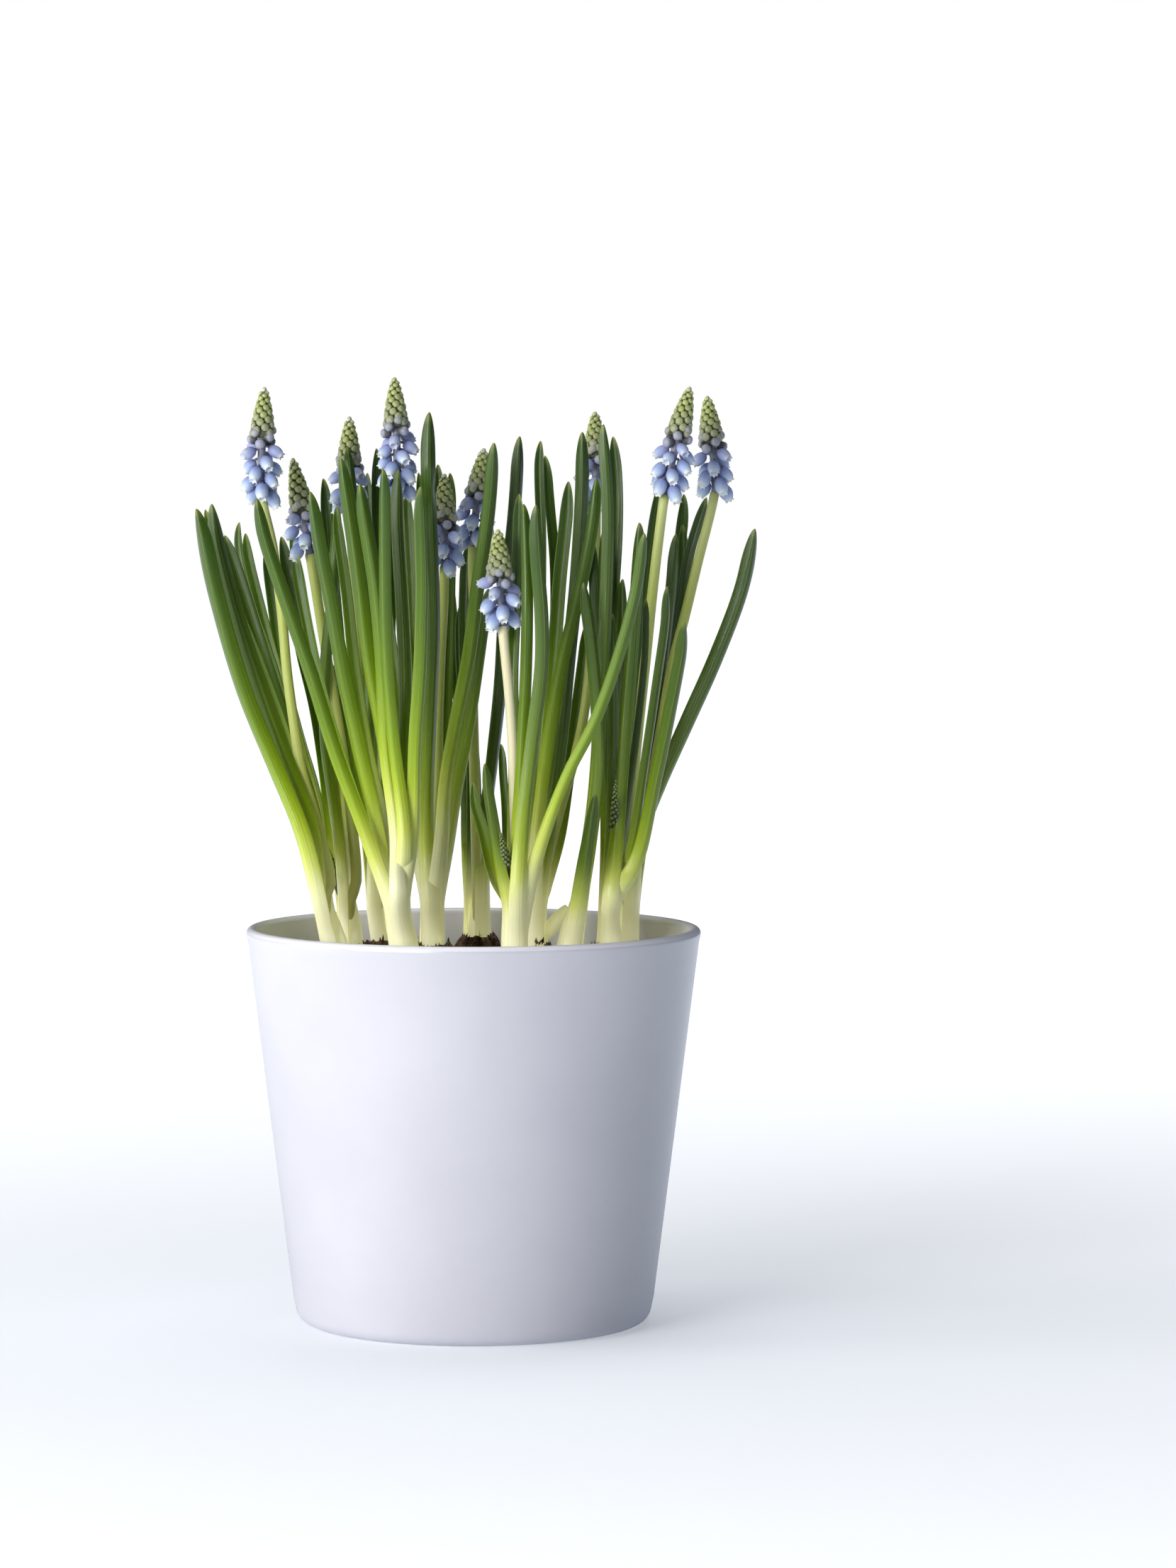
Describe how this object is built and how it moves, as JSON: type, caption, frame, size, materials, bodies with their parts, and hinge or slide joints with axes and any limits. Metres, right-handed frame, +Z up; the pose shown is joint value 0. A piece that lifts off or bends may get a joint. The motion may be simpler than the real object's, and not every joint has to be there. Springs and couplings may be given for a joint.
{
  "type": "grape hyacinth in a pot",
  "caption": "Clump of grape hyacinth bulbs growing in a plain tapered glazed pot, with upright channelled leaves and cone-topped racemes of small hanging bells.",
  "frame": {"origin": "middle of the pot's underside", "axes": "+Z up, -Y towards the front of the plant"},
  "size_m": [0.1712, 0.1396, 0.2905],
  "materials": {
    "glaze": "smooth satin-gloss white ceramic glaze with a faint blue-grey cast",
    "soil": "crumbly dark brown potting soil",
    "tunic": "papery dark brown bulb tunic with a torn crown",
    "leaf": "waxy green leaf with fine long veins, cream at the root and darker at the tip",
    "stalk": "smooth pale yellow-green flower stalk",
    "bloom": "soft powdery light blue bells with pale mouths under olive green buds"
  },
  "bodies": {
    "root": {"pot": "glaze", "soil": "soil", "bulb_1": "tunic", "leaves_1": "leaf", "stalk_1": "stalk", "raceme_1": "bloom", "bulb_2": "tunic", "leaves_2": "leaf", "stalk_2": "stalk", "raceme_2": "bloom", "bulb_3": "tunic", "leaves_3": "leaf", "stalk_3": "stalk", "raceme_3": "bloom", "bulb_4": "tunic", "leaves_4": "leaf", "stalk_4": "stalk", "raceme_4": "bloom", "bulb_5": "tunic", "leaves_5": "leaf", "stalk_5": "stalk", "raceme_5": "bloom", "bulb_6": "tunic", "leaves_6": "leaf", "stalk_6": "stalk", "raceme_6": "bloom", "bulb_7": "tunic", "leaves_7": "leaf", "stalk_7": "stalk", "raceme_7": "bloom", "bulb_8": "tunic", "leaves_8": "leaf", "stalk_8": "stalk", "raceme_8": "bloom", "bulb_9": "tunic", "leaves_9": "leaf", "bulb_10": "tunic", "leaves_10": "leaf", "stalk_10": "stalk", "raceme_10": "bloom", "bulb_11": "tunic", "leaves_11": "leaf", "stalk_11": "stalk", "raceme_11": "bloom"}
  },
  "joints": []
}
